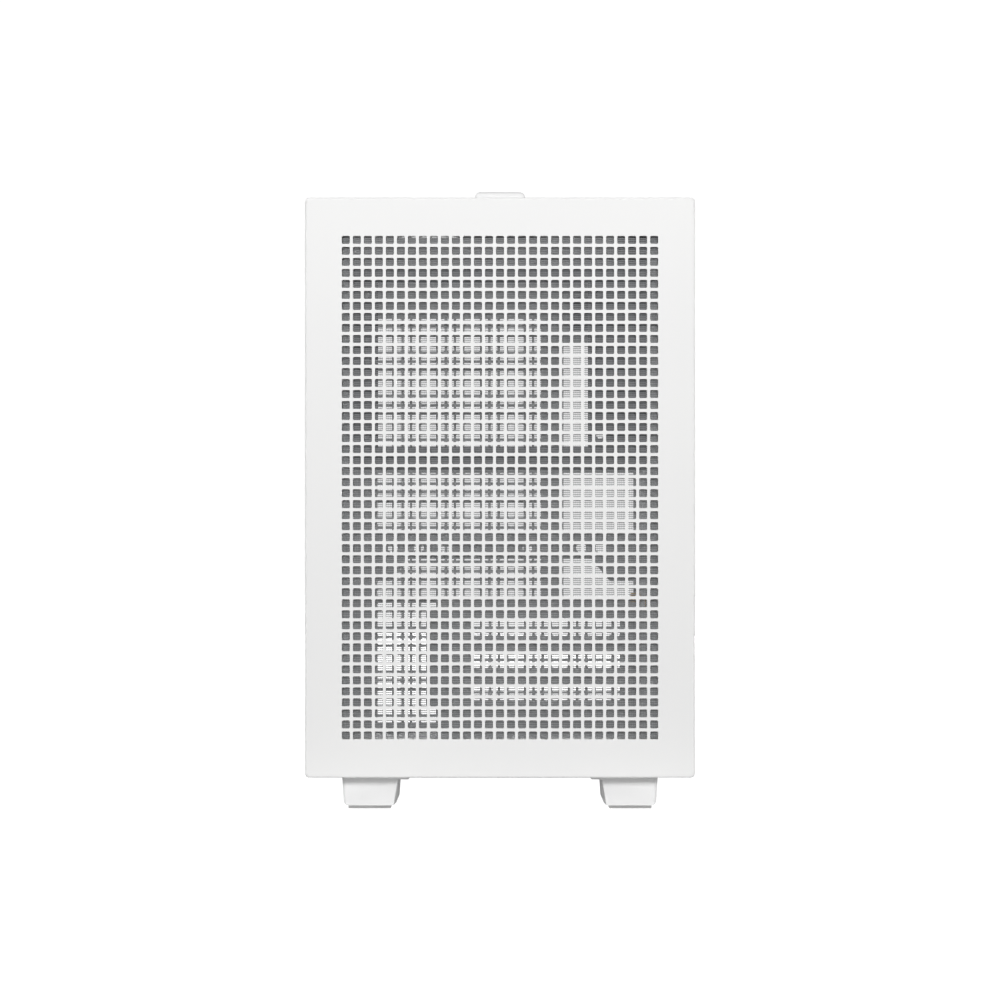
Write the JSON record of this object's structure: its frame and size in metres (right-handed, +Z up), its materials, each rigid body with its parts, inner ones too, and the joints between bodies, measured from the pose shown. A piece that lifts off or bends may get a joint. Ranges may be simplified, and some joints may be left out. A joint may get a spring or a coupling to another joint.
{
  "type": "desktop computer tower case",
  "caption": "Compact upright computer case of perforated white steel on feet, with pull-off front, slide-off sides, lifting strap handle and slide-out bottom filter.",
  "frame": {"origin": "middle of the case on the table it stands on", "axes": "+Z up, -Y out of the front panel, +X towards the motherboard side, which is the right seen from the front"},
  "size_m": [0.195, 0.336, 0.3169],
  "materials": {
    "white_panel_steel": "matt white powder coat",
    "white_chassis_steel": "matt white powder coat",
    "grey_bracket_steel": "satin grey paint",
    "plated_steel": "bright zinc plate",
    "brass": "turned",
    "white_plastic": "fine moulded texture",
    "black_plastic": "moulded",
    "clear_plastic": "clear",
    "pale_rubber": "matt",
    "nylon_net": "fine woven net",
    "circuit_board": "solder resist"
  },
  "bodies": {
    "chassis": {"audio_jack": "black_plastic", "chassis_floor": "white_chassis_steel", "filter_rail_left": "white_plastic", "filter_rail_right": "white_plastic", "foot_front_left": "white_plastic", "foot_front_right": "white_plastic", "foot_pad_front_left": "pale_rubber", "foot_pad_front_right": "pale_rubber", "foot_pad_rear_left": "pale_rubber", "foot_pad_rear_right": "pale_rubber", "foot_rear_left": "white_plastic", "foot_rear_right": "white_plastic", "front_cross_brace": "white_chassis_steel", "front_frame": "white_chassis_steel", "handle_cap_front": "white_plastic", "handle_cap_rear": "white_plastic", "handle_strap_front": "pale_rubber", "handle_strap_rear": "pale_rubber", "mains_inlet": "black_plastic", "motherboard_standoff_1": "brass", "motherboard_standoff_2": "brass", "motherboard_standoff_3": "brass", "motherboard_standoff_4": "brass", "motherboard_tray": "white_chassis_steel", "port_board": "circuit_board", "port_housing": "black_plastic", "power_light": "clear_plastic", "power_switch": "black_plastic", "psu_bracket": "grey_bracket_steel", "psu_shelf": "white_chassis_steel", "rear_wall": "white_chassis_steel", "slot_cover_1": "plated_steel", "slot_cover_2": "plated_steel", "slot_cover_3": "plated_steel", "slot_cover_screw_1": "plated_steel", "slot_cover_screw_2": "plated_steel", "slot_cover_screw_3": "plated_steel", "slot_screw_rail": "plated_steel", "top_frame": "white_chassis_steel", "top_panel": "white_panel_steel", "usb_a_port": "plated_steel", "usb_c_port": "plated_steel"},
    "front_panel": {"front_panel": "white_panel_steel", "front_filter_frame": "white_plastic", "front_filter_net": "nylon_net", "front_panel_stud_1": "plated_steel", "front_panel_stud_2": "plated_steel", "front_panel_stud_3": "plated_steel", "front_panel_stud_4": "plated_steel"},
    "left_side_panel": {"left_side_panel": "white_panel_steel"},
    "right_side_panel": {"right_side_panel": "white_panel_steel"},
    "handle_grip": {"handle_grip": "white_plastic"},
    "power_button": {"power_button": "white_plastic"},
    "bottom_filter": {"bottom_filter_frame": "white_plastic", "bottom_filter_net": "nylon_net"},
    "thumbscrew_left_lower": {"thumbscrew_left_lower": "plated_steel"},
    "thumbscrew_left_upper": {"thumbscrew_left_upper": "plated_steel"},
    "thumbscrew_right_lower": {"thumbscrew_right_lower": "plated_steel"},
    "thumbscrew_right_upper": {"thumbscrew_right_upper": "plated_steel"}
  },
  "joints": [
    {"name": "front_panel_pull", "type": "slide", "parent": "chassis", "child": "front_panel", "axis": [0, -1, 0], "range_m": [0, 0.012]},
    {"name": "left_panel_slide", "type": "slide", "parent": "chassis", "child": "left_side_panel", "axis": [0, 1, 0], "range_m": [0, 0.012]},
    {"name": "right_panel_slide", "type": "slide", "parent": "chassis", "child": "right_side_panel", "axis": [0, 1, 0], "range_m": [0, 0.012]},
    {"name": "handle_lift", "type": "slide", "parent": "chassis", "child": "handle_grip", "axis": [0, 0, 1], "range_m": [0, 0.02]},
    {"name": "power_button_press", "type": "slide", "parent": "chassis", "child": "power_button", "axis": [0, 0, -1], "range_m": [0, 0.0012], "stiffness_N_per_m": 800, "springref_m": -0.0005},
    {"name": "bottom_filter_slide", "type": "slide", "parent": "chassis", "child": "bottom_filter", "axis": [0, 1, 0], "range_m": [0, 0.245]},
    {"name": "thumbscrew_left_lower_turn", "type": "hinge", "parent": "left_side_panel", "child": "thumbscrew_left_lower", "pos_m": [-0.0915, 0.1633, 0.0425], "axis": [0, 1, 0], "continuous": true},
    {"name": "thumbscrew_left_upper_turn", "type": "hinge", "parent": "left_side_panel", "child": "thumbscrew_left_upper", "pos_m": [-0.0915, 0.1633, 0.2705], "axis": [0, 1, 0], "continuous": true},
    {"name": "thumbscrew_right_lower_turn", "type": "hinge", "parent": "right_side_panel", "child": "thumbscrew_right_lower", "pos_m": [0.0915, 0.1633, 0.0425], "axis": [0, 1, 0], "continuous": true},
    {"name": "thumbscrew_right_upper_turn", "type": "hinge", "parent": "right_side_panel", "child": "thumbscrew_right_upper", "pos_m": [0.0915, 0.1633, 0.2705], "axis": [0, 1, 0], "continuous": true}
  ]
}
